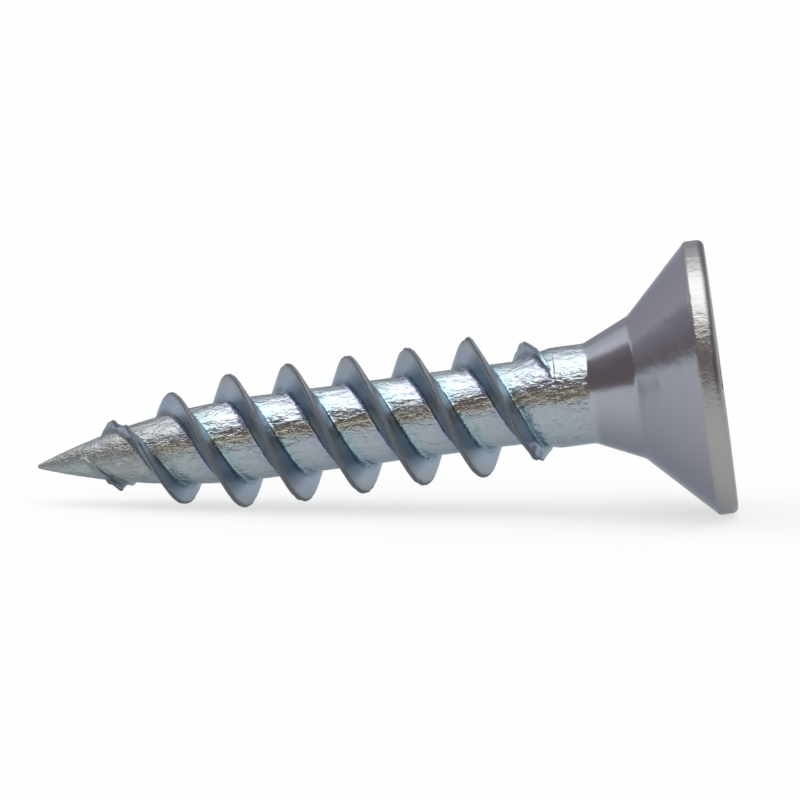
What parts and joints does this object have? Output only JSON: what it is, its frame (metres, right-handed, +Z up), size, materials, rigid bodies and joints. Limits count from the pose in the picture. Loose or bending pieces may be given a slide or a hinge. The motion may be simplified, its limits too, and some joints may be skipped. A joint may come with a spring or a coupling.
{
  "type": "twin-thread wood screw",
  "caption": "Countersunk wood screw with a coarse twin thread, a sharp point, a plain neck and a cross recess, lying on its side.",
  "frame": {"origin": "centre of the footprint on the surface that the screw lies on", "axes": "+Z up; +X along the screw as it lies, from its tip towards its head, with the axis rising towards the head by about eight and a half degrees"},
  "size_m": [0.0204, 0.008, 0.008],
  "materials": {
    "zinc_plated_steel": "bright zinc plate with a faint blue cast, a little dull and pitted on the rolled thread and core, smoother on the neck and head"
  },
  "bodies": {
    "root": {"screw": "zinc_plated_steel"}
  },
  "joints": []
}
